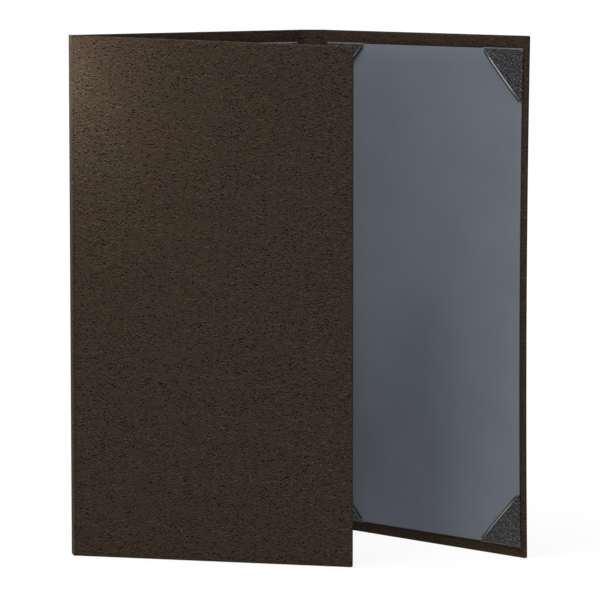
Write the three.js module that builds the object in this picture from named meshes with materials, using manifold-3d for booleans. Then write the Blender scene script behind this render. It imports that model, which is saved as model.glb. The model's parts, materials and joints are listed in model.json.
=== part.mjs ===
// A three-panel menu cover, standing half open in a zigzag: a centre panel, a left flap that folds
// over it and a right panel. Millimetres, +Z up. The centre panel stands in the XZ plane with its
// cloth face towards +Y, and the origin is the middle of its bottom edge.
import * as THREE from 'three';
import Module from 'manifold-3d';
import { mergeVertices } from 'three/addons/utils/BufferGeometryUtils.js';

// Driving dimensions of the panels, as wrapped in cloth, and how far the flap's top edge drops
// from its hinge to its fore-edge
const panelHeight = 295;
const panelWidth = 163;
const flapWidth = 161;
const flapDrop = 5;

// Thickness of each layer, from the outer face inwards
const clothThickness = 0.45;
const boardThickness = 1.6;
const lipThickness = 0.3;
const linerThickness = 0.5;
const insertSpace = 0.2;
const pocketThickness = 0.4;
const glueGap = 0.05;

// The cloth's rounded edge and the width that it turns in over the board
const edgeRadius = 0.4;
const turnInWidth = 14;

// The borders that each liner leaves free on its panel, and the corner pockets
const panelFootBorder = 6.5;
const panelHeadBorder = 7.5;
const flapFootBorder = 4;
const flapHeadBorder = 5;
const foreBorder = 3;
const centreSideBorder = 4;
const spineBorder = 5;
const flapHingeBorder = 3;
const pocketLeg = 30;
const pocketLip = 8;
const pocketBeadRadius = 0.35;

// The cloth hinges: the distance between the two fold lines of each, and the room at a fold
const spineWidth = 15;
const flapHingeWidth = 9.8;
const foldClearance = 0.8;
const foldEnd = 0.1;

// How far each fold line is bent at rest, in degrees from flat
const spineFold = 42;
const flapFold = 64;

// Depths, counted from a panel's outer cloth face
const boardDepth = clothThickness + glueGap;
const turnInDepth = boardDepth + boardThickness + glueGap;
const wrapDepth = turnInDepth + clothThickness;
const lipDepth = wrapDepth + glueGap;
const linerDepth = lipDepth + lipThickness + glueGap;
const pocketDepth = linerDepth + linerThickness + insertSpace;
const pocketFront = pocketDepth + pocketThickness;
const hingeDepth = clothThickness + glueGap / 2;

const clothColour = 0x3d3128;
const boardColour = 0x8a8478;
const linerColour = 0x545a66;
const pocketColour = 0x17181a;

const wasm = await Module();
wasm.setup();

// A closed three.js geometry as a solid for cutting and joining
function solid(geometry) {
  const bare = geometry.clone();
  bare.deleteAttribute('normal');
  bare.deleteAttribute('uv');
  const welded = mergeVertices(bare, 1e-4);
  return new wasm.Manifold(new wasm.Mesh({
    numProp: 3,
    vertProperties: Float32Array.from(welded.attributes.position.array),
    triVerts: Uint32Array.from(welded.index.array),
  }));
}

function geometryOf(body) {
  const mesh = body.getMesh();
  const geometry = new THREE.BufferGeometry();
  geometry.setAttribute('position', new THREE.BufferAttribute(Float32Array.from(mesh.vertProperties), 3));
  geometry.setIndex(Array.from(mesh.triVerts));
  const flat = geometry.toNonIndexed();
  flat.computeVertexNormals();
  return flat;
}

function finish(colour, roughness) {
  return new THREE.MeshStandardMaterial({ color: colour, roughness, metalness: 0 });
}

function named(name, geometry, material) {
  const mesh = new THREE.Mesh(geometry, material);
  mesh.name = name;
  return mesh;
}

// A box between two depths: x from the left, depth from the outer face, z from the foot
function slab(left, width, nearDepth, farDepth, foot, height) {
  const geometry = new THREE.BoxGeometry(width, farDepth - nearDepth, height);
  geometry.translate(left + width / 2, -(nearDepth + farDepth) / 2, foot + height / 2);
  return geometry;
}

// A panel's outline, drawn in by an inset: its height is given at its left and right edges
function panelOutline(panelSize, inset) {
  const { width, leftHeight, rightHeight } = panelSize;
  const outline = new THREE.Shape();
  outline.moveTo(inset, inset);
  outline.lineTo(width - inset, inset);
  outline.lineTo(width - inset, rightHeight - inset);
  outline.lineTo(inset, leftHeight - inset);
  outline.closePath();
  return outline;
}

// The panel's outline, drawn in by an inset, as a prism between two depths
function panelPrism(panelSize, inset, nearDepth, farDepth) {
  const outline = panelOutline(panelSize, inset);
  const geometry = new THREE.ExtrudeGeometry(outline, { depth: farDepth - nearDepth, bevelEnabled: false });
  geometry.translate(0, 0, nearDepth);
  geometry.rotateX(Math.PI / 2);
  return geometry;
}

// A plate with rounded edges all round, as cloth drawn over a board leaves it
function roundedPlate(panelSize, thickness, radius) {
  const geometry = new THREE.ExtrudeGeometry(panelOutline(panelSize, radius), {
    depth: thickness - 2 * radius,
    bevelEnabled: true,
    bevelThickness: radius,
    bevelSize: radius,
    bevelSegments: 3,
    steps: 1,
  });
  geometry.translate(0, 0, radius);
  geometry.rotateX(Math.PI / 2);
  return geometry;
}

// The cover cloth of one panel: outer face, turned edges and turn-ins round an open window
function coverCloth(panelSize) {
  const shell = solid(roundedPlate(panelSize, wrapDepth, edgeRadius));
  const hollow = solid(panelPrism(panelSize, clothThickness, clothThickness, wrapDepth - clothThickness));
  const window = solid(panelPrism(panelSize, turnInWidth, clothThickness, wrapDepth + clothThickness));
  return geometryOf(shell.subtract(hollow).subtract(window));
}

function board(panelSize) {
  return panelPrism(panelSize, boardDepth, boardDepth, boardDepth + boardThickness);
}

// A right triangle with its square corner at the origin, as a prism between two depths
function cornerPrism(leg, inset, nearDepth, farDepth) {
  const outline = new THREE.Shape();
  outline.moveTo(inset, inset);
  outline.lineTo(leg - inset, inset);
  outline.lineTo(inset, leg - inset);
  outline.closePath();
  const geometry = new THREE.ExtrudeGeometry(outline, { depth: farDepth - nearDepth, bevelEnabled: false });
  geometry.translate(0, 0, nearDepth);
  geometry.rotateX(Math.PI / 2);
  return geometry;
}

// The folded edge across a pocket's mouth, a round bead along the slope
function pocketBead(leg) {
  const ends = pocketThickness + pocketBeadRadius;
  const length = (leg - 2 * ends) * Math.SQRT2;
  const geometry = new THREE.CylinderGeometry(pocketBeadRadius, pocketBeadRadius, length, 10);
  geometry.rotateZ(Math.PI / 4);
  geometry.rotateX(Math.PI / 2);
  geometry.translate(leg / 2, -(pocketFront - pocketBeadRadius / 2), leg / 2);
  return geometry;
}

// A pocket for the liner's lower left corner: front sheet, wrapped edges and lips behind the liner
function cornerPocket() {
  const wall = pocketThickness + glueGap;
  const leg = pocketLeg + wall;
  const body = solid(cornerPrism(leg, 0, lipDepth, pocketFront));
  const slot = solid(cornerPrism(2 * leg, wall - glueGap, lipDepth + lipThickness, pocketDepth));
  const back = solid(cornerPrism(2 * leg, pocketLip, lipDepth - glueGap, linerDepth));
  const bead = solid(pocketBead(leg));
  return geometryOf(body.subtract(slot).subtract(back).add(bead));
}

// Copies the pocket to one corner of a liner: right and top say which one
function placedPocket(pocket, liner, right, top) {
  const outset = pocketThickness + glueGap;
  const geometry = pocket.clone();
  geometry.translate(-outset, 0, -outset);
  const quarterTurns = right ? (top ? 2 : 1) : (top ? 3 : 0);
  geometry.rotateY(-quarterTurns * Math.PI / 2);
  geometry.translate(
    liner.left + (right ? liner.width : 0),
    0,
    liner.foot + (top ? liner.height : 0),
  );
  return geometry;
}

// One panel in its own frame: x from its left edge, y = 0 at the outer cloth face, z from its foot.
// The border says how much of each side the liner leaves free, at the head on the lower edge.
function panel(side, panelSize, border) {
  const liner = {
    left: border.left,
    foot: border.foot,
    width: panelSize.width - border.left - border.right,
    height: Math.min(panelSize.leftHeight, panelSize.rightHeight) - border.foot - border.head,
  };
  const group = new THREE.Group();
  group.add(named(`${side}_cover_cloth`, coverCloth(panelSize), finish(clothColour, 0.85)));
  group.add(named(`${side}_board`, board(panelSize), finish(boardColour, 0.9)));
  const sheet = slab(
    liner.left, liner.width,
    linerDepth, linerDepth + linerThickness,
    liner.foot, liner.height,
  );
  group.add(named(`${side}_liner`, sheet, finish(linerColour, 0.75)));
  const pocket = cornerPocket();
  for (const right of [false, true]) {
    for (const top of [false, true]) {
      const corner = `${top ? 'top' : 'bottom'}_${right ? 'right' : 'left'}`;
      const geometry = placedPocket(pocket, liner, right, top);
      group.add(named(`${side}_pocket_${corner}`, geometry, finish(pocketColour, 0.5)));
    }
  }
  return group;
}

// The two plies of a cloth hinge, from its first fold line at x = 0 to its second at x = width
function hinge(name, width, height) {
  const group = new THREE.Group();
  const span = width - 2 * foldEnd;
  const outer = slab(foldEnd, span, 0, clothThickness, 0, height);
  const inner = slab(foldEnd, span, clothThickness + glueGap, 2 * clothThickness + glueGap, 0, height);
  group.add(named(`${name}_cloth`, outer, finish(clothColour, 0.85)));
  group.add(named(`${name}_lining`, inner, finish(clothColour, 0.85)));
  return group;
}

// A group that carries its content turned about a vertical fold line in the middle of the hinge cloth
function folded(content, degrees, contentFoldX) {
  const fold = new THREE.Group();
  fold.rotation.z = THREE.MathUtils.degToRad(degrees);
  content.position.set(-contentFoldX, hingeDepth, 0);
  fold.add(content);
  return fold;
}

// Places a folded group with its fold line at x in the carrier's frame
function placeFold(carrier, fold, x) {
  fold.position.set(x, -hingeDepth, 0);
  carrier.add(fold);
}

const menuCover = new THREE.Group();
menuCover.name = 'menu_cover';

const wholePanel = { width: panelWidth, leftHeight: panelHeight, rightHeight: panelHeight };
const centre = panel('centre', wholePanel, {
  left: centreSideBorder,
  right: centreSideBorder,
  foot: panelFootBorder,
  head: panelHeadBorder,
});
centre.position.set(-panelWidth / 2, wrapDepth / 2, 0);
menuCover.add(centre);

const right = panel('right', wholePanel, {
  left: spineBorder,
  right: foreBorder,
  foot: panelFootBorder,
  head: panelHeadBorder,
});
const spine = hinge('spine', spineWidth, panelHeight);
placeFold(spine, folded(right, -spineFold, -foldClearance), spineWidth);
placeFold(centre, folded(spine, -spineFold, 0), panelWidth + foldClearance);

const flapPanel = { width: flapWidth, leftHeight: panelHeight - flapDrop, rightHeight: panelHeight };
const left = panel('left', flapPanel, {
  left: foreBorder,
  right: flapHingeBorder,
  foot: flapFootBorder,
  head: flapHeadBorder,
});
const flapHinge = hinge('flap_hinge', flapHingeWidth, panelHeight);
placeFold(flapHinge, folded(left, flapFold, flapWidth + foldClearance), 0);
placeFold(centre, folded(flapHinge, flapFold, flapHingeWidth), -foldClearance);

export default menuCover;
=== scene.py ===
import json
import math

import bmesh
import bpy
import numpy as np
from mathutils import Matrix, Vector


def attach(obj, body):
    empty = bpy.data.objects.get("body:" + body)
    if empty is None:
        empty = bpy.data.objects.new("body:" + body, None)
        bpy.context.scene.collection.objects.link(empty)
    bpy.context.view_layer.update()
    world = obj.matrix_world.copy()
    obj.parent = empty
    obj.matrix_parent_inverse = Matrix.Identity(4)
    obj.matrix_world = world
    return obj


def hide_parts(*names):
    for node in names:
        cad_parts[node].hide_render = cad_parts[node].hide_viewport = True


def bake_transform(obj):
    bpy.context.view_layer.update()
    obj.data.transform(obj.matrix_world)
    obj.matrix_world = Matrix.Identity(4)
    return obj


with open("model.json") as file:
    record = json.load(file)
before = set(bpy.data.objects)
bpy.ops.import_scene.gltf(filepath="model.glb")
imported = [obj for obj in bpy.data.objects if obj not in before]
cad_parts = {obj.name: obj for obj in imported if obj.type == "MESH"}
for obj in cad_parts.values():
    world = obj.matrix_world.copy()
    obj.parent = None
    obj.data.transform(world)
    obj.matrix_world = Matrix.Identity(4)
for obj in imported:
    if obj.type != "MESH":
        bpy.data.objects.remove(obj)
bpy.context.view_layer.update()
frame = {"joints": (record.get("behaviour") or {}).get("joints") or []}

# Sizes of the cover, in metres, as the construction has them
MM = 0.001
PANEL_WIDTH = 163 * MM
PANEL_HEIGHT = 295 * MM
FLAP_WIDTH = 161 * MM
FLAP_DROP = 5 * MM
CLOTH = 0.45 * MM
BOARD = 1.6 * MM
LIP = 0.3 * MM
LINER = 0.5 * MM
INSERT_SPACE = 0.2 * MM
POCKET = 0.4 * MM
GLUE = 0.05 * MM
TURN_IN = 14 * MM
PANEL_FOOT_BORDER = 6.5 * MM
PANEL_HEAD_BORDER = 7.5 * MM
FLAP_FOOT_BORDER = 4 * MM
FLAP_HEAD_BORDER = 5 * MM
FORE_BORDER = 3 * MM
CENTRE_SIDE_BORDER = 4 * MM
SPINE_BORDER = 5 * MM
FLAP_HINGE_BORDER = 3 * MM
POCKET_LEG = 30 * MM
POCKET_LIP = 8 * MM
BEAD_RADIUS = 0.35 * MM
SPINE_WIDTH = 15 * MM
FLAP_HINGE_WIDTH = 9.8 * MM
FOLD_CLEARANCE = 0.8 * MM

# Depths from a panel's outer cloth face
WRAP_DEPTH = 2 * CLOTH + BOARD + 2 * GLUE
BOARD_DEPTH = CLOTH + GLUE
LIP_DEPTH = WRAP_DEPTH + GLUE
LINER_DEPTH = LIP_DEPTH + LIP + GLUE
POCKET_DEPTH = LINER_DEPTH + LINER + INSERT_SPACE
POCKET_FRONT = POCKET_DEPTH + POCKET
HINGE_DEPTH = CLOTH + GLUE / 2

# The wrapped cloth's rolled edge, its room round the board and the softness of its cut edge; the
# edge rolls and corners of the board and the liner; and how far the right panel has warped inwards
EDGE_ROLL = 0.75 * MM
BOARD_SLACK = 0.4 * MM
CUT_SOFTNESS = 0.15 * MM
BOARD_ROLL = 0.1 * MM
LINER_ROLL = 0.16 * MM
LINER_CORNER = 0.5 * MM
RIGHT_WARP = 1.6 * MM

# Mesh divisions: a plate's faces, its sides in turn, its corners and its rolled edges
ROWS = 28
COLUMNS = 10
SIDE_STEPS = (COLUMNS, ROWS, COLUMNS, ROWS)
ARC_STEPS = 4
ROLL_STEPS = 5

# Points nearer than this are one point
WELD = 0.002 * MM

# The photograph's view: a camera's focal length for a 600 px frame, its place, its turn from +Y
# and its pitch downwards in degrees, the sensor's width and the nearest and farthest thing it sees
PHOTO_SIZE = 600
FOCAL_PX = 3807.2
CAMERA_PLACE = (-1.3016, -1.7709, 0.3607)
CAMERA_YAW = 37.998
CAMERA_PITCH = 5.737
SENSOR = 36.0
CLIP_RANGE = (0.05, 60.0)


# Frames of the panels and hinge strips

class Place:
    """A panel's or strip's own frame: x from its left edge, depth inwards from its outer face, z up."""

    def __init__(self, origin, turn, warp=None):
        self.origin = Vector(origin)
        self.turn = Matrix.Rotation(turn, 3, "Z")
        self.warp = warp

    def at(self, x, depth, z):
        if self.warp:
            depth = depth + self.warp(x, z)
        return self.origin + self.turn @ Vector((x, -depth, z))


def joint_point(name):
    return Vector(next(j["pos_m"] for j in frame["joints"] if j["name"] == name))


def fold_angle(first, second):
    """How far a hinge strip is turned from the centre panel's plane at rest."""
    along = joint_point(second) - joint_point(first)
    return math.atan2(along.y, along.x)


def hung_at(fold_point, turn, local_x):
    """The origin of a piece whose own point (local_x, HINGE_DEPTH) lies on a fold line."""
    return Vector(fold_point) - Matrix.Rotation(turn, 3, "Z") @ Vector((local_x, -HINGE_DEPTH, 0))


def right_warp(x, z):
    """The right board bows inwards along its fore-edge, most at half height."""
    along = 2 * z / PANEL_HEIGHT - 1
    return RIGHT_WARP * (x / PANEL_WIDTH) ** 2 * (1 - along * along)


spine_turn = fold_angle("spine_fold", "spine_fold_outer")
flap_turn = fold_angle("flap_fold", "flap_fold_outer") + math.pi

places = {
    "centre": Place((-PANEL_WIDTH / 2, WRAP_DEPTH / 2, 0), 0.0),
    "spine": Place(hung_at(joint_point("spine_fold"), spine_turn, 0), spine_turn),
    "right": Place(
        hung_at(joint_point("spine_fold_outer"), 2 * spine_turn, -FOLD_CLEARANCE),
        2 * spine_turn, right_warp,
    ),
    "flap_hinge": Place(hung_at(joint_point("flap_fold"), flap_turn, FLAP_HINGE_WIDTH), flap_turn),
    "left": Place(
        hung_at(joint_point("flap_fold_outer"), 2 * flap_turn, FLAP_WIDTH + FOLD_CLEARANCE),
        2 * flap_turn,
    ),
}


# Shader maths

class Field:
    """One value in a node tree; an expression on it adds the Math nodes it needs."""

    def __init__(self, shader, socket):
        self.shader = shader
        self.socket = socket

    def _maths(self, operation, *values):
        return self.shader.node("ShaderNodeMath", {"operation": operation}, *values)

    def __add__(self, other):
        return self._maths("ADD", self, other)

    def __radd__(self, other):
        return self._maths("ADD", other, self)

    def __sub__(self, other):
        return self._maths("SUBTRACT", self, other)

    def __rsub__(self, other):
        return self._maths("SUBTRACT", other, self)

    def __mul__(self, other):
        return self._maths("MULTIPLY", self, other)

    def __rmul__(self, other):
        return self._maths("MULTIPLY", other, self)

    def __truediv__(self, other):
        return self._maths("DIVIDE", self, other)

    def fract(self):
        return self._maths("FRACT", self)

    def floor(self):
        return self._maths("FLOOR", self)

    def modulo(self, other):
        return self._maths("FLOORED_MODULO", self, other)

    def absolute(self):
        return self._maths("ABSOLUTE", self)

    def power(self, other):
        return self._maths("POWER", self, other)

    def step_over(self, low, high):
        """0 below low, 1 above high, smooth between."""
        settings = {"interpolation_type": "SMOOTHSTEP"}
        return self.shader.node("ShaderNodeMapRange", settings, self, low, high, 0.0, 1.0)


# Where Texture Coordinate has its Object output
OBJECT_OUTPUT = 3


class Shader:
    """A material and the nodes that make it."""

    def __init__(self, name):
        self.material = bpy.data.materials.new(name)
        self.material.use_nodes = True
        self.tree = self.material.node_tree
        self.surface = self.tree.nodes["Principled BSDF"]

    def node(self, kind, settings, *values, output=0, **named):
        """Any other node; its inputs are given in order or by name, as numbers or fields."""
        made = self.tree.nodes.new(kind)
        for key, value in settings.items():
            setattr(made, key, value)
        sockets = list(zip(made.inputs, values))
        sockets += [(made.inputs[key], value) for key, value in named.items()]
        for socket, value in sockets:
            if isinstance(value, Field):
                self.tree.links.new(value.socket, socket)
            else:
                socket.default_value = value
        return Field(self, made.outputs[output])

    def uv_mm(self, name="UVMap"):
        """One of the piece's UV maps, in millimetres, as two fields."""
        uv = self.node("ShaderNodeUVMap", {"uv_map": name})
        split = self.node("ShaderNodeSeparateXYZ", {}, uv)
        z = Field(self, split.socket.node.outputs[1])
        return split / MM, z / MM

    def object_place(self):
        return self.node("ShaderNodeTexCoord", {}, output=OBJECT_OUTPUT)

    def joined(self, x, y):
        return self.node("ShaderNodeCombineXYZ", {}, x, y)

    def noise(self, point, scale, detail=2.0, roughness=0.5):
        return self.node(
            "ShaderNodeTexNoise", {"noise_dimensions": "3D"},
            Vector=point, Scale=scale, Detail=detail, Roughness=roughness,
        )

    def chance(self, point):
        """A value from 0 to 1 that is the same all over one cell."""
        return self.node("ShaderNodeTexWhiteNoise", {"noise_dimensions": "3D"}, point)

    def mix(self, factor, first, second):
        """The first colour turning into the second as the factor goes from 0 to 1."""
        made = self.tree.nodes.new("ShaderNodeMix")
        made.data_type = "RGBA"
        for index, value in ((0, factor), (6, first), (7, second)):
            if isinstance(value, Field):
                self.tree.links.new(value.socket, made.inputs[index])
            elif index == 0:
                made.inputs[index].default_value = value
            else:
                made.inputs[index].default_value = (*value, 1.0)
        return Field(self, made.outputs[2])

    def bump(self, height, distance, strength):
        """Raises the surface by the height, in which 1 stands for the distance in metres."""
        made = self.tree.nodes.new("ShaderNodeBump")
        made.inputs["Strength"].default_value = strength
        made.inputs["Distance"].default_value = distance
        self.tree.links.new(height.socket, made.inputs["Height"])
        self.tree.links.new(made.outputs["Normal"], self.surface.inputs["Normal"])

    def feed(self, **sockets):
        """Sets the surface's inputs and gives the finished material."""
        for key, value in sockets.items():
            socket = self.surface.inputs[key.replace("_", " ")]
            if isinstance(value, Field):
                self.tree.links.new(value.socket, socket)
            else:
                socket.default_value = value
        return self.material


# Materials

# The weave of the book cloth and the mitred corners of its turn-ins, in millimetres
WEFT_PITCH = 0.60
WARP_PITCH = 0.65
MITRE_WIDTH = 0.32
MITRE_CORE = 0.08

# The cloth's two dye lots, between the threads and on them, and the other finishes' colours
CLOTH_GROUND = ((0.0030, 0.0014, 0.0007), (0.0027, 0.0016, 0.0007))
CLOTH_THREAD = ((0.0595, 0.0382, 0.0236), (0.0570, 0.0396, 0.0230))
MITRE_DARK = (0.004, 0.003, 0.002)
LINER_BLUES = ((0.115, 0.127, 0.151), (0.142, 0.157, 0.186))
LEATHERETTE_BLACK = (0.0004, 0.0004, 0.0006)
LEATHERETTE_CREST = (0.20, 0.206, 0.222)
# Painted highlight on the rolled edges of the pockets' legs that run along x
LEG_PAINTED_HIGHLIGHT = (0.14, 0.145, 0.155)
# Painted highlight along the crests of the pockets' mouth folds
FOLD_PAINTED_HIGHLIGHT = (0.36, 0.37, 0.39)
# Painted shade on the side of the mouth folds that faces the open liner
FOLD_PAINTED_SHADE = (0.001, 0.001, 0.001)
BOARD_GREYS = ((0.20, 0.185, 0.16), (0.33, 0.31, 0.275))
BOARD_FLECK = (0.10, 0.09, 0.08)

# How deep each finish's relief is, in metres
WEAVE_RELIEF = 0.16 * MM
LINER_RELIEF = 0.06 * MM
LEATHERETTE_RELIEF = 0.6 * MM
BOARD_RELIEF = 0.08 * MM


def book_cloth():
    """Brown linen-weave book cloth: plain weave in which each thread has its own uneven shade."""
    s = Shader("book_cloth")
    x, y = s.uv_mm()
    wander = s.noise(s.joined(x * 0.05, y * 0.3), 1.0, 1.0) - 0.5
    row = (y + wander * 0.6) / WEFT_PITCH
    column = (x + wander * 0.6) / WARP_PITCH
    weft, warp = row.floor(), column.floor()
    over = (weft + warp).modulo(2.0)
    across = 1.0 - (row.fract() * 2.0 - 1.0).power(2.0)
    upright = 1.0 - (column.fract() * 2.0 - 1.0).power(2.0)
    weave = across * (0.35 + over * 0.65) + upright * (1.0 - over) * 0.6
    below = weft - 1.0
    crossing = s.chance(s.joined(weft, warp)) - s.chance(s.joined(below, warp))
    short = s.noise(s.joined(column * 0.3, weft * 3.7), 1.0, 1.0)
    short = short - s.noise(s.joined(column * 0.3, below * 3.7), 1.0, 1.0)
    long = s.noise(s.joined(column * 0.06, weft * 1.9), 1.0, 1.0)
    warp_run = s.noise(s.joined(warp * 2.3, row * 0.12), 1.0, 1.0)
    slub = long.step_over(0.62, 0.7)
    thread = (over - 0.5) * 1.2 + crossing * 1.15 + short * 1.1 + (warp_run - 0.5) + slub * 0.5
    light = (thread + 0.44).step_over(-0.1, 1.1)
    patch = s.noise(s.joined(x * 0.045, y * 0.06), 1.0, 2.0).step_over(0.3, 0.7)
    colour = s.mix(light, s.mix(patch, *CLOTH_GROUND), s.mix(patch, *CLOTH_THREAD))
    side, end = s.uv_mm("Edges")
    mitre = 1.0 - (side - end).absolute().step_over(MITRE_CORE, MITRE_WIDTH)
    mitre = mitre * (1.0 - side.step_over(TURN_IN / MM, TURN_IN / MM + 1.0))
    colour = s.mix(mitre * 0.7, colour, MITRE_DARK)
    s.bump(weave * 0.6 + thread * 0.35 - mitre * 1.5, WEAVE_RELIEF, 0.7)
    return s.feed(Base_Color=colour, Roughness=0.85 - light * 0.12, Specular_IOR_Level=0.1)


def liner_sheet():
    """Matt blue-grey sheet with a very fine leather grain."""
    s = Shader("liner_sheet")
    x, y = s.uv_mm()
    point = s.joined(x, y)
    smooth = {"feature": "SMOOTH_F1"}
    grain = s.node("ShaderNodeTexVoronoi", smooth, Vector=point, Scale=0.85, Smoothness=0.6)
    wrinkle = s.noise(point, 0.6, 3.0, 0.6)
    cloudy = s.noise(point, 0.03, 2.0, 0.5)
    specks = s.noise(point, 3.2, 1.0, 0.5)
    shade = cloudy * 0.3 + specks * 0.45 + wrinkle * 0.25
    colour = s.mix(shade.step_over(0.3, 0.7), *LINER_BLUES)
    s.bump(grain * 0.7 + wrinkle * 0.6, LINER_RELIEF, 0.6)
    return s.feed(Base_Color=colour, Roughness=0.62 + specks * 0.1, Specular_IOR_Level=0.3)


def leatherette(name, highlight_colour):
    """Black leatherette with a pebbled grain. On this finish the Edges map holds the share of painted
    highlight, which is lighter and smoother, and of painted shade, which is black and rougher, both as
    millimetres from 0 to 1."""
    s = Shader(name)
    x, y = s.uv_mm()
    point = s.joined(x, y)
    bend = s.noise(point, 0.8, 2.0)
    bent = s.joined(x + bend * 1.2, y + bend * 0.9)
    cells = s.node("ShaderNodeTexVoronoi", {"feature": "DISTANCE_TO_EDGE"}, Vector=bent, Scale=0.85)
    uneven = s.noise(point, 0.75, 2.0)
    fine = s.noise(point, 2.4, 2.0, 0.6)
    pebble = cells.step_over(0.03, 0.3)
    crest = pebble * uneven.step_over(0.42, 0.62)
    highlight_mask, painted_shade = s.uv_mm("Edges")
    painted_highlight = highlight_mask * (0.55 + fine * 0.6)
    colour = s.mix(crest * (fine * 1.9 - 0.35), LEATHERETTE_BLACK, LEATHERETTE_CREST)
    # A painted highlight, then painted shade, over the grain's colour
    colour = s.mix(painted_highlight, colour, highlight_colour)
    colour = s.mix(painted_shade, colour, FOLD_PAINTED_SHADE)
    s.bump((pebble * 0.7 + uneven * 0.5 + fine * 0.25) * (1.0 - painted_highlight * 0.7), LEATHERETTE_RELIEF, 1.0)
    roughness = 0.5 - crest * 0.16
    return s.feed(
        Base_Color=colour, Roughness=roughness + painted_highlight * (0.34 - roughness) + painted_shade * 0.45,
        Specular_IOR_Level=0.4,
    )


def grey_board():
    """Pressed grey board, with fibres and flecks."""
    s = Shader("grey_board")
    where = s.object_place()
    fibre = s.noise(where, 900.0, 4.0, 0.7)
    fleck = s.noise(where, 2500.0, 1.0)
    colour = s.mix(fibre.step_over(0.3, 0.7), *BOARD_GREYS)
    colour = s.mix(fleck.step_over(0.66, 0.72), colour, BOARD_FLECK)
    s.bump(fibre, BOARD_RELIEF, 0.6)
    return s.feed(Base_Color=colour, Roughness=0.92)


cloth_material = book_cloth()
liner_material = liner_sheet()
pocket_material = leatherette("leatherette", LEG_PAINTED_HIGHLIGHT)
fold_material = leatherette("leatherette_fold", FOLD_PAINTED_HIGHLIGHT)
board_material = grey_board()


# Meshes

# What the Edges map holds where a point is well away from a turn-in's mitre
FAR_FROM_EDGES = (0.09, 0.05)


def made_object(name, vertices, faces, uvs, material, edges=None):
    """A mesh object at the origin. Each vertex has an (x, z) in metres in uvs, and in edges its
    distances from the nearest side and end, or what the leatherette reads there."""
    mesh = bpy.data.meshes.new(name)
    mesh.from_pydata([tuple(v) for v in vertices], [], faces)
    index = np.zeros(len(mesh.loops), dtype=np.int32)
    mesh.loops.foreach_get("vertex_index", index)
    for layer_name, values in (("UVMap", uvs), ("Edges", edges or [FAR_FROM_EDGES] * len(uvs))):
        layer = mesh.uv_layers.new(name=layer_name)
        layer.data.foreach_set("uv", np.asarray(values, float)[index].astype(np.float32).ravel())
    mesh.materials.append(material)
    mesh.polygons.foreach_set("use_smooth", [True] * len(mesh.polygons))
    piece = bpy.data.objects.new(name, mesh)
    bpy.context.scene.collection.objects.link(piece)
    return piece


class Outline:
    """A panel's or sheet's outline in its own frame; the top edge may slope from left to right."""

    def __init__(self, left, right, foot, top_left, top_right):
        self.left, self.right, self.foot = left, right, foot
        self.top_left, self.top_right = top_left, top_right

    def top(self, x):
        share = (x - self.left) / (self.right - self.left)
        return self.top_left + (self.top_right - self.top_left) * share

    def drawn_in(self, inset):
        return Outline(
            self.left + inset, self.right - inset, self.foot + inset,
            self.top_left - inset, self.top_right - inset,
        )

    def edge_distances(self, x, z):
        return min(x - self.left, self.right - x), min(z - self.foot, self.top(x) - z)

    def ring(self, radius):
        """Points round the outline with round corners, from the lower left towards the lower right."""
        r = max(radius, 0.0)
        corners = (
            (self.left + r, self.foot + r, 180), (self.right - r, self.foot + r, 270),
            (self.right - r, self.top_right - r, 0), (self.left + r, self.top_left - r, 90),
        )
        arcs = []
        for x, z, start in corners:
            angles = [math.radians(start + 90 * i / ARC_STEPS) for i in range(ARC_STEPS + 1)]
            arcs.append([(x + r * math.cos(a), z + r * math.sin(a)) for a in angles])
        points = []
        for k, arc in enumerate(arcs):
            points += arc
            (x0, z0), (x1, z1) = arc[-1], arcs[(k + 1) % 4][0]
            steps = SIDE_STEPS[k]
            points += [(x0 + (x1 - x0) * i / steps, z0 + (z1 - z0) * i / steps) for i in range(1, steps)]
        return points


def plate_profile(near, far, roll):
    """(inset, depth) pairs from a plate's near face round its rolled edge to its far face."""
    profile = []
    for i in range(ROLL_STEPS + 1):
        a = math.pi / 2 * i / ROLL_STEPS
        profile.append((roll * (1 - math.sin(a)), near + roll * (1 - math.cos(a))))
    for i in range(ROLL_STEPS + 1):
        a = math.pi / 2 * i / ROLL_STEPS
        profile.append((roll * (1 - math.cos(a)), far - roll * (1 - math.sin(a))))
    return profile


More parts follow.
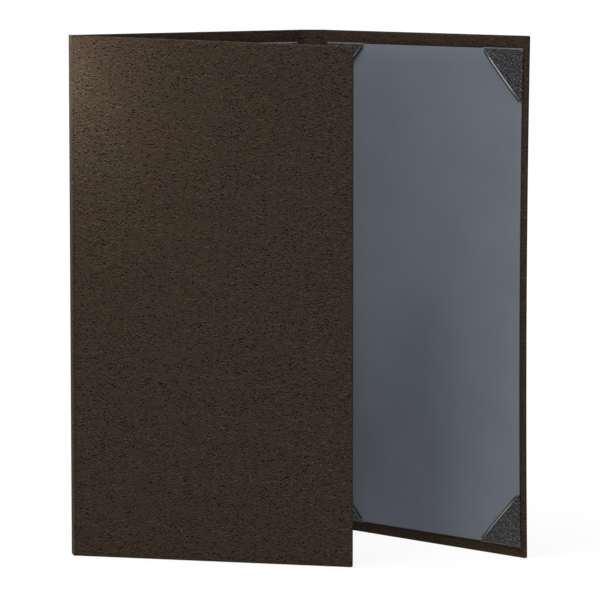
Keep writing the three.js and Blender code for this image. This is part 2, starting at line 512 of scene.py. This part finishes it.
def ringed_shell(name, place, outline, profile, corner, material, uv_shift=0.0):
    """A closed plate or shell made of rings, one for each (inset, depth) of the profile. The first
    ring and the last are filled in."""
    vertices, uvs, edges, rings, faces = [], [], [], [], []
    deepest = max(depth for inset, depth in profile)

    def add(x, z, depth, edge):
        vertices.append(place.at(x, depth, z))
        uvs.append((x + uv_shift, z))
        edges.append(edge)
        return len(vertices) - 1

    for inset, depth in profile:
        points = outline.drawn_in(inset).ring(corner - inset)
        inner = depth > deepest / 2
        rings.append([
            add(x, z, depth, outline.edge_distances(x, z) if inner else FAR_FROM_EDGES) for x, z in points
        ])
    for one, two in zip(rings, rings[1:]):
        for i in range(len(one)):
            j = (i + 1) % len(one)
            faces.append((one[i], two[i], two[j], one[j]))

    def fill(ring, inset, depth, outer):
        """A grid of faces that fills a ring and shares its points."""
        inside = outline.drawn_in(inset)
        sides, at = [], 0
        for steps in SIDE_STEPS:
            at += ARC_STEPS
            sides.append([ring[(at + i) % len(ring)] for i in range(steps + 1)])
            at += steps
        grid = [[None] * (COLUMNS + 1) for _ in range(ROWS + 1)]
        for j in range(ROWS + 1):
            for i in range(COLUMNS + 1):
                if j == 0:
                    grid[j][i] = sides[0][i]
                elif j == ROWS:
                    grid[j][i] = sides[2][COLUMNS - i]
                elif i == COLUMNS:
                    grid[j][i] = sides[1][j]
                elif i == 0:
                    grid[j][i] = sides[3][ROWS - j]
                else:
                    x = inside.left + (inside.right - inside.left) * i / COLUMNS
                    z = inside.foot + (inside.top(x) - inside.foot) * j / ROWS
                    grid[j][i] = add(x, z, depth, FAR_FROM_EDGES)
        for j in range(ROWS):
            for i in range(COLUMNS):
                quad = (grid[j][i], grid[j][i + 1], grid[j + 1][i + 1], grid[j + 1][i])
                faces.append(quad[::-1] if outer else quad)

    fill(rings[0], *profile[0], True)
    fill(rings[-1], *profile[-1], False)
    return cleaned(made_object(name, vertices, faces, uvs, material, edges=edges))


def cleaned(piece, distance=WELD):
    """Merges doubled points, drops faces without area and turns every face outwards."""
    work = bmesh.new()
    work.from_mesh(piece.data)
    bmesh.ops.remove_doubles(work, verts=work.verts, dist=distance)
    bmesh.ops.dissolve_degenerate(work, edges=work.edges, dist=distance / 2)
    bmesh.ops.recalc_face_normals(work, faces=work.faces)
    work.to_mesh(piece.data)
    work.free()
    return piece


def keep_sharp(piece, degrees):
    """Smooth shading apart from edges sharper than the given angle."""
    with bpy.context.temp_override(object=piece, active_object=piece, selected_editable_objects=[piece]):
        bpy.ops.object.shade_smooth_by_angle(angle=math.radians(degrees))


class Panel:
    """One panel: its body, its outline, its liner's outline and where the cloth's weave has got to."""

    def __init__(self, side, width, left_height, right_height, borders, weave_start):
        left, right, foot, head = borders
        lower = min(left_height, right_height)
        self.side, self.body, self.place = side, f"{side}_panel", places[side]
        self.outline = Outline(0.0, width, 0.0, left_height, right_height)
        self.liner = Outline(left, width - right, foot, lower - head, lower - head)
        self.weave_start = weave_start


PANELS = (
    Panel(
        "left", FLAP_WIDTH, PANEL_HEIGHT - FLAP_DROP, PANEL_HEIGHT,
        (FORE_BORDER, FLAP_HINGE_BORDER, FLAP_FOOT_BORDER, FLAP_HEAD_BORDER),
        -FLAP_WIDTH - FLAP_HINGE_WIDTH,
    ),
    Panel(
        "centre", PANEL_WIDTH, PANEL_HEIGHT, PANEL_HEIGHT,
        (CENTRE_SIDE_BORDER, CENTRE_SIDE_BORDER, PANEL_FOOT_BORDER, PANEL_HEAD_BORDER), 0.0,
    ),
    Panel(
        "right", PANEL_WIDTH, PANEL_HEIGHT, PANEL_HEIGHT,
        (SPINE_BORDER, FORE_BORDER, PANEL_FOOT_BORDER, PANEL_HEAD_BORDER), PANEL_WIDTH + SPINE_WIDTH,
    ),
)


def fitted(piece, panel, node=None):
    """Hides the part of the construction that a panel's piece stands for, when one is named, and makes the
    piece ride on the panel.
    """
    if node:
        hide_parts(f"{panel.side}_{node}")
    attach(piece, panel.body)


def cover_cloth(panel):
    """The cloth shell: outer face, rolled edges, turn-ins with their cut edge, and the hollow inside."""
    inner = CLOTH + BOARD_SLACK
    profile = plate_profile(0.0, WRAP_DEPTH, EDGE_ROLL) + [
        (TURN_IN - CUT_SOFTNESS, WRAP_DEPTH), (TURN_IN, WRAP_DEPTH - CUT_SOFTNESS),
        (TURN_IN, WRAP_DEPTH - CLOTH), (inner, WRAP_DEPTH - CLOTH), (inner, CLOTH),
    ]
    shell = ringed_shell(
        f"{panel.side}_cloth", panel.place, panel.outline, profile, EDGE_ROLL, cloth_material,
        panel.weave_start,
    )
    fitted(shell, panel, "cover_cloth")


def stiff_board(panel):
    """The board inside the cloth, warped as its panel is."""
    outline = panel.outline.drawn_in(CLOTH + BOARD_SLACK + GLUE)
    profile = plate_profile(BOARD_DEPTH, BOARD_DEPTH + BOARD, BOARD_ROLL)
    plate = ringed_shell(
        f"{panel.side}_stiff_board", panel.place, outline, profile, BOARD_ROLL, board_material
    )
    fitted(plate, panel, "board")


def liner_sheet_of(panel):
    """The liner, a thin sheet with softened edges over the turn-ins."""
    profile = plate_profile(LINER_DEPTH, LINER_DEPTH + LINER, LINER_ROLL)
    sheet = ringed_shell(
        f"{panel.side}_liner_sheet", panel.place, panel.liner, profile, LINER_CORNER, liner_material
    )
    fitted(sheet, panel, "liner")


# Corner pockets

POCKET_WALL = POCKET + GLUE
POCKET_ROLL = 0.75 * MM
POCKET_BACK_ROLL = 0.3 * MM
POCKET_SHEET = 0.26 * MM
LEG_STEPS = 16
BACK_ROLL_STEPS = 3

# Where the rows of a pocket's front lie, as shares of the way from its rolled edge to its mouth
SPREAD = (0.03, 0.06, 0.1, 0.16, 0.24, 0.34, 0.46, 0.6, 0.74, 0.87, 1.0)

# How far each panel's pockets stand open, and over which share of a leg they rise to that
MOUTH_LIFT = {"left": 0.1 * MM, "centre": 0.1 * MM, "right": 0.6 * MM}
LIFT_SHARE = 0.3

# The folded edge across a pocket's mouth: its radius, how far from the legs it ends, its divisions, and over
# which share of a leg its painted highlight fades
FOLD_RADIUS = 0.85 * MM
FOLD_ENDS = 1.4 * MM
FOLD_POINTS = 33
FOLD_SIDES = 16
HIGHLIGHT_FADE = 0.22


def held(value, low=0.0):
    """The value, kept from going under low or over 1."""
    return min(max(value, low), 1.0)


def mouth_lift(panel, along, up):
    """How far a pocket's front stands off at a point, from its distances to the two legs."""
    from_legs = held(min(along, up) / (POCKET_LEG * LIFT_SHARE))
    toward_mouth = min((along + up) / POCKET_LEG, 1.0)
    smooth = from_legs * from_legs * (3 - 2 * from_legs)
    return MOUTH_LIFT[panel.side] * smooth * toward_mouth ** 2


def pocket_profile():
    """(inset from the legs' outer edge, depth) of the leatherette, from its lip round to its front."""
    roll, back_roll = POCKET_ROLL, POCKET_BACK_ROLL
    profile = [(POCKET_LIP, LIP_DEPTH), (POCKET_LIP / 2, LIP_DEPTH), (back_roll, LIP_DEPTH)]
    for i in range(1, BACK_ROLL_STEPS + 1):
        a = math.pi / 2 * i / BACK_ROLL_STEPS
        profile.append((back_roll * (1 - math.sin(a)), LIP_DEPTH + back_roll * (1 - math.cos(a))))
    for i in range(ROLL_STEPS + 1):
        a = math.pi / 2 * i / ROLL_STEPS
        profile.append((roll * (1 - math.cos(a)), POCKET_FRONT - roll * (1 - math.sin(a))))
    half = (POCKET_LEG + POCKET_WALL) / 2
    return profile + [(roll + (half - roll) * share, POCKET_FRONT) for share in SPREAD]


def pocket_corner(panel, right, top):
    """One corner pocket, worked out for the lower left corner and mirrored to its own."""
    name = f"{'top' if top else 'bottom'}_{'right' if right else 'left'}"
    leg = POCKET_LEG + POCKET_WALL
    liner = panel.liner
    vertices, uvs, edges, rows, faces = [], [], [], [], []
    for inset, depth in pocket_profile():
        row = []
        for i in range(-LEG_STEPS, LEG_STEPS + 1):
            run = inset + (leg - 2 * inset) * abs(i) / LEG_STEPS
            x, z = (run, inset) if i <= 0 else (inset, run)
            x, z = x - POCKET_WALL, z - POCKET_WALL
            front = depth > LINER_DEPTH + LINER
            px = liner.right - x if right else liner.left + x
            pz = liner.top_left - z if top else liner.foot + z
            lift = mouth_lift(panel, x, z) if front else 0.0
            # A painted highlight on the rolled edge of the leg that runs along x; the other leg has none
            highlight_mask = held(1.0 - inset / POCKET_ROLL) if i <= 0 else 0.0
            row.append(len(vertices))
            vertices.append(panel.place.at(px, depth + lift, pz))
            uvs.append((px, pz))
            edges.append((MM * highlight_mask, 0.0))
        rows.append(row)
    for one, two in zip(rows, rows[1:]):
        for i in range(2 * LEG_STEPS):
            faces.append((one[i], one[i + 1], two[i + 1], two[i]))
    piece = made_object(f"{panel.side}_corner_{name}", vertices, faces, uvs, pocket_material, edges=edges)
    cleaned(piece, WELD / 2)
    inwards = panel.place.turn @ Vector((0, -1, 0))
    if sum(face.area * face.normal.dot(inwards) for face in piece.data.polygons) < 0:
        piece.data.flip_normals()
    sheet = piece.modifiers.new("leatherette", "SOLIDIFY")
    sheet.thickness = POCKET_SHEET
    sheet.offset = -1
    plain(piece)
    keep_sharp(piece, 50)
    fitted(piece, panel, f"pocket_{name}")


def plain(piece):
    """Turns a piece with a modifier into a plain mesh."""
    graph = bpy.context.evaluated_depsgraph_get()
    finished = bpy.data.meshes.new_from_object(piece.evaluated_get(graph))
    finished.name = piece.name
    piece.modifiers.clear()
    piece.data = finished


class Recipe:
    """A Geometry Nodes tree that is built from named inputs."""

    def __init__(self, name, inputs):
        self.tree = bpy.data.node_groups.new(name, "GeometryNodeTree")
        face = self.tree.interface
        face.new_socket("Geometry", in_out="OUTPUT", socket_type="NodeSocketGeometry")
        self.keys = {}
        for label, kind in inputs.items():
            made = face.new_socket(label, in_out="INPUT", socket_type=f"NodeSocket{kind}")
            self.keys[label] = made.identifier
        self.inputs = self.tree.nodes.new("NodeGroupInput")
        self.output = self.tree.nodes.new("NodeGroupOutput")

    def given(self, label):
        return self.inputs.outputs[label]

    def add(self, kind, *values, **named):
        """One node; a value may be a number, a vector or another node's output socket."""
        node = self.tree.nodes.new(kind)
        sockets = list(zip(node.inputs, values))
        sockets += [(node.inputs[key], value) for key, value in named.items()]
        for socket, value in sockets:
            if isinstance(value, bpy.types.NodeSocket):
                self.tree.links.new(value, socket)
            else:
                socket.default_value = value
        return node.outputs[0]

    def maths(self, operation, *values):
        result = self.add("ShaderNodeMath", *values)
        result.node.operation = operation
        return result

    def point(self, x, z):
        return self.add("ShaderNodeCombineXYZ", X=x, Z=z)


def mouth_fold_recipe():
    """A round folded edge across the mouth of each of a liner's four corner pockets."""
    r = Recipe("pocket_mouth_folds", {
        "Liner Width": "Float", "Liner Height": "Float", "Leg": "Float", "Ends": "Float",
        "Radius": "Float", "Material": "Material",
    })
    far = r.maths("SUBTRACT", r.given("Leg"), r.given("Ends"))
    line = r.add(
        "GeometryNodeCurvePrimitiveLine",
        Start=r.point(far, r.given("Ends")), End=r.point(r.given("Ends"), far),
    )
    path = r.add("GeometryNodeResampleCurve", Curve=line, Count=FOLD_POINTS)
    ring = r.add("GeometryNodeCurvePrimitiveCircle", Resolution=FOLD_SIDES, Radius=r.given("Radius"))
    fold = r.add("GeometryNodeCurveToMesh", **{"Curve": path, "Profile Curve": ring, "Fill Caps": True})
    index = r.add("GeometryNodeInputIndex")
    from_middle = r.maths("ABSOLUTE", r.maths("SUBTRACT", index, 1.5))
    right = r.maths("LESS_THAN", from_middle, 1.0)
    top = r.maths("GREATER_THAN", index, 1.5)
    corner = r.point(
        r.maths("MULTIPLY", right, r.given("Liner Width")), r.maths("MULTIPLY", top, r.given("Liner Height"))
    )
    corners = r.add("GeometryNodePoints", Count=4, Position=corner)
    turn = r.add("ShaderNodeCombineXYZ", Y=r.maths("MULTIPLY", index, -math.pi / 2))
    placed = r.add("GeometryNodeInstanceOnPoints", Points=corners, Instance=fold, Rotation=turn)
    whole = r.add("GeometryNodeRealizeInstances", Geometry=placed)
    smoothed = r.add("GeometryNodeSetShadeSmooth", Geometry=whole)
    finish = r.add("GeometryNodeSetMaterial", Geometry=smoothed, Material=r.given("Material"))
    r.tree.links.new(finish, r.output.inputs[0])
    return r


def mouth_folds(panel, recipe):
    """The folded edges of a panel's four pockets, lifted with the pockets' fronts. Each has a painted
    highlight along its crest and painted shade on the side that faces the open liner."""
    liner = panel.liner
    width, height = liner.right - liner.left, liner.top_left - liner.foot
    piece = made_object(f"{panel.side}_pocket_folds", [(0, 0, 0)], [], [(0, 0)], fold_material)
    maker = piece.modifiers.new("folds", "NODES")
    maker.node_group = recipe.tree
    given = {
        "Liner Width": width, "Liner Height": height, "Leg": POCKET_LEG, "Ends": FOLD_ENDS,
        "Radius": FOLD_RADIUS, "Material": fold_material,
    }
    for label, value in given.items():
        maker[recipe.keys[label]] = value
    plain(piece)
    mesh = piece.data
    looks, spots = [], []
    for vertex in mesh.vertices:
        x, z = vertex.co.x, vertex.co.z
        along, up = min(x, width - x), min(z, height - z)
        rise = 0.5 - vertex.co.y / (2 * FOLD_RADIUS)
        past_mouth = (along + up - POCKET_LEG) / math.sqrt(2) / FOLD_RADIUS
        from_end = held((min(along, up) - FOLD_ENDS) / (POCKET_LEG * HIGHLIGHT_FADE), 0.15)
        front = POCKET_FRONT + BEAD_RADIUS / 2 + mouth_lift(panel, along, up)
        depth = POCKET_DEPTH + (front - POCKET_DEPTH) * rise
        # A painted highlight on the fold's crest, fading towards its ends
        highlight_mask = from_end * held((rise - 0.62) * 4.0) * held((0.1 - past_mouth) * 3.0)
        # Painted shade on the side of the fold past the mouth line
        painted_shade = held((past_mouth - 0.05) * 5.0)
        looks.append((MM * highlight_mask, MM * painted_shade))
        spots.append((liner.left + x, liner.foot + z))
        vertex.co = panel.place.at(liner.left + x, depth, liner.foot + z)
    for name, values in (("UVMap", spots), ("Edges", looks)):
        layer = mesh.uv_layers.get(name) or mesh.uv_layers.new(name=name)
        for loop in mesh.loops:
            layer.data[loop.index].uv = values[loop.vertex_index]
    cleaned(piece)
    fitted(piece, panel)


# Hinge cloth: how far a fold's rounding reaches from its line, the steps of the rounding and of the
# flat stretch after it, and how far the cloth reaches in over a panel's edge
FOLD_REACH = 0.92 * MM
FOLD_STEPS = 8
FLAT_STEPS = 4
HINGE_OVERLAP = 0.02 * MM


def fold_path(start, corner, end):
    """Points from start to end in plan, with the corner rounded off."""
    start, corner, end = (Vector((p[0], p[1])) for p in (start, corner, end))
    before, after = (corner - start).normalized(), (end - corner).normalized()
    bent_from, bent_to = corner - before * FOLD_REACH, corner + after * FOLD_REACH
    points = [start]
    for i in range(FOLD_STEPS + 1):
        t = i / FOLD_STEPS
        points.append(bent_from * (1 - t) ** 2 + corner * (2 * t * (1 - t)) + bent_to * t * t)
    run = (end - bent_to).length
    for i in range(1, FLAT_STEPS + 1):
        points.append(bent_to + after * run * i / FLAT_STEPS)
    return points


def ply(name, path, near, far, uv_start):
    """One ply of hinge cloth swept up the hinge, between two distances to the left of its path."""
    count = len(path)
    normals = []
    for i in range(count):
        a, b = path[max(i - 1, 0)], path[min(i + 1, count - 1)]
        along = (b - a).normalized()
        normals.append(Vector((-along.y, along.x)))
    lengths = [0.0]
    for a, b in zip(path, path[1:]):
        lengths.append(lengths[-1] + (b - a).length)
    outline = []
    for i in range(count):
        outline.append((path[i] + normals[i] * near, lengths[i]))
    for i in reversed(range(count)):
        outline.append((path[i] + normals[i] * far, lengths[i]))
    vertices, uvs, faces = [], [], []
    for j in range(ROWS + 1):
        z = PANEL_HEIGHT * j / ROWS
        for point, run in outline:
            vertices.append((point.x, point.y, z))
            uvs.append((uv_start + run, z))
    size = len(outline)
    for j in range(ROWS):
        for k in range(size):
            a, b = j * size + k, j * size + (k + 1) % size
            faces.append((a, b, b + size, a + size))
    for base in (0, ROWS * size):
        for i in range(count - 1):
            a, b = base + i, base + i + 1
            c, d = base + size - 2 - i, base + size - 1 - i
            faces.append((a, b, c, d))
    piece = made_object(name, vertices, faces, uvs, cloth_material)
    cleaned(piece)
    keep_sharp(piece, 40)
    return piece


def hinge(name, node, side, centre_x, side_x, weave_start):
    """A hinge's two plies between the centre panel and a side panel, in two halves that meet in the middle
    of the strip. Each half runs from its panel's edge round its own fold line to the middle of the strip.
    The ply named cloth is the outer one on the spine's centre half and the flap's left half, and the
    inner one on the other two halves, where the path runs the other way."""
    folds = joint_point(f"{name}_fold"), joint_point(f"{name}_fold_outer")
    middle = (folds[0] + folds[1]) / 2
    plies = (("cloth", HINGE_DEPTH, GLUE / 2), ("lining", -GLUE / 2, -HINGE_DEPTH))
    for fold, held_by, edge_x in zip(folds, ("centre", side), (centre_x, side_x)):
        path = fold_path(places[held_by].at(edge_x, HINGE_DEPTH, 0), fold, middle)
        for label, near, far in plies:
            piece = ply(f"{name}_{held_by}_side_{label}", path, near, far, weave_start)
            if held_by == "centre":
                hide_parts(f"{node}_{label}")
            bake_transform(piece)


# Studio

# The plain light from all round, the floor, how much of the object's shadow it shows, and where that
# shadow fades out, as distances from the object
AMBIENT = 0.22
FLOOR_SIZE = 30.0
FLOOR_LEVEL = -0.4 * MM
FLOOR_GREY = (0.6, 0.6, 0.6, 1.0)
FLOOR_WHITE_STRENGTH = 1.04
FLOOR_SHARE = 0.12
SHADOW_REACH = (0.5, 1.6)
WHITE = (1.0, 1.0, 1.0, 1.0)

# The point that the lamps are placed from, on the floor in the middle of the cover
COVER_MIDDLE = Vector((0, -0.08, 0))

# Each lamp's name, its place and its target as right, up and towards the camera, its size and power
LAMPS = (
    ("key", (-1.2, 3.2, 1.3), (0, 0.15, 0), 1.3, 56.0),
    ("top", (-0.6, 3.0, 0.3), (0, 0.15, 0), 1.3, 48.0),
    ("front", (0.3, 0.9, 2.6), (0, 0.15, 0), 1.2, 22.0),
    ("left", (-0.165, 0.285, 0.035), (-0.125, 0.262, -0.02), 0.04, 0.15),
    ("back", (0.6, 1.2, -1.9), (0, 0.15, 0), 1.4, 25.0),
)


def background_seen(tree):
    """1 for the rays that see the background itself or its image in something shiny or clear."""
    rays = tree.nodes.new("ShaderNodeLightPath")
    seen = rays.outputs["Is Camera Ray"]
    for ray in ("Is Glossy Ray", "Is Transmission Ray"):
        either = tree.nodes.new("ShaderNodeMath")
        either.operation = "MAXIMUM"
        tree.links.new(seen, either.inputs[0])
        tree.links.new(rays.outputs[ray], either.inputs[1])
        seen = either.outputs[0]
    return seen


def mixed_shaders(tree, share, first, second, output):
    """Sends one shader or the other to the output, by a share from 0 to 1."""
    mixed = tree.nodes.new("ShaderNodeMixShader")
    tree.links.new(share, mixed.inputs[0])
    tree.links.new(first.outputs[0], mixed.inputs[1])
    tree.links.new(second.outputs[0], mixed.inputs[2])
    tree.links.new(mixed.outputs[0], tree.nodes[output].inputs["Surface"])


def pale_floor():
    """A floor that is seen as plain white, with a share of the object's shadow near it."""
    bpy.ops.mesh.primitive_plane_add(size=FLOOR_SIZE, location=(0, 0, FLOOR_LEVEL))
    floor = bpy.context.object
    floor.name = "floor"
    s = Shader("pale_floor")
    s.feed(Base_Color=FLOOR_GREY, Roughness=0.95, Specular_IOR_Level=0.1)
    white = s.tree.nodes.new("ShaderNodeEmission")
    white.inputs["Color"].default_value = WHITE
    white.inputs["Strength"].default_value = FLOOR_WHITE_STRENGTH
    reach = s.node("ShaderNodeVectorMath", {"operation": "LENGTH"}, s.object_place(), output=1)
    shadowed = (1.0 - reach.step_over(*SHADOW_REACH)) * FLOOR_SHARE
    shown = Field(s, background_seen(s.tree)) * (1.0 - shadowed)
    mixed_shaders(s.tree, shown.socket, s.surface, white, "Material Output")
    floor.data.materials.append(s.material)


def pale_world():
    """A world that is seen as white, and lights the object softly from all round."""
    world = bpy.data.worlds.new("studio")
    bpy.context.scene.world = world
    world.use_nodes = True
    tree = world.node_tree
    ambient = tree.nodes["Background"]
    bright = tree.nodes.new("ShaderNodeBackground")
    for background, strength in ((ambient, AMBIENT), (bright, 1.0)):
        background.inputs["Color"].default_value = WHITE
        background.inputs["Strength"].default_value = strength
    mixed_shaders(tree, background_seen(tree), ambient, bright, "World Output")


def seen_from_camera(right, up, towards):
    """A point given from the cover's middle: to the right of the view, up, and towards the camera."""
    yaw = math.radians(CAMERA_YAW)
    along = Vector((math.sin(yaw), math.cos(yaw), 0))
    side = Vector((math.cos(yaw), -math.sin(yaw), 0))
    return COVER_MIDDLE + side * right - along * towards + Vector((0, 0, up))


def pointed(piece, direction):
    """Turns a lamp or camera to look along a direction."""
    piece.rotation_mode = "QUATERNION"
    piece.rotation_quaternion = direction.to_track_quat("-Z", "Y")


def area_light(name, place, target, size, power):
    lamp = bpy.data.lights.new(name, "AREA")
    lamp.shape = "DISK"
    lamp.size = size
    lamp.energy = power
    piece = bpy.data.objects.new(name, lamp)
    bpy.context.scene.collection.objects.link(piece)
    piece.location = place
    pointed(piece, target - place)
    piece.visible_camera = False


def camera():
    """The camera of the photograph's view."""
    data = bpy.data.cameras.new("photo_view")
    data.sensor_width = SENSOR
    data.lens = FOCAL_PX * SENSOR / PHOTO_SIZE
    data.clip_start, data.clip_end = CLIP_RANGE
    piece = bpy.data.objects.new("photo_view", data)
    bpy.context.scene.collection.objects.link(piece)
    piece.location = CAMERA_PLACE
    yaw, pitch = math.radians(CAMERA_YAW), math.radians(CAMERA_PITCH)
    level = math.cos(pitch)
    pointed(piece, Vector((math.sin(yaw) * level, math.cos(yaw) * level, -math.sin(pitch))))
    bpy.context.scene.camera = piece


# The whole scene

camera()
pale_floor()
pale_world()
for name, place, target, size, power in LAMPS:
    area_light(name, seen_from_camera(*place), seen_from_camera(*target), size, power)

fold_recipe = mouth_fold_recipe()
for panel in PANELS:
    cover_cloth(panel)
    stiff_board(panel)
    liner_sheet_of(panel)
    for right in (False, True):
        for top in (False, True):
            pocket_corner(panel, right, top)
    mouth_folds(panel, fold_recipe)
hinge("spine", "spine", "right", PANEL_WIDTH - HINGE_OVERLAP, HINGE_OVERLAP, PANEL_WIDTH)
hinge("flap", "flap_hinge", "left", HINGE_OVERLAP, FLAP_WIDTH - HINGE_OVERLAP, 0.0)

bpy.context.scene.view_settings.view_transform = "Standard"
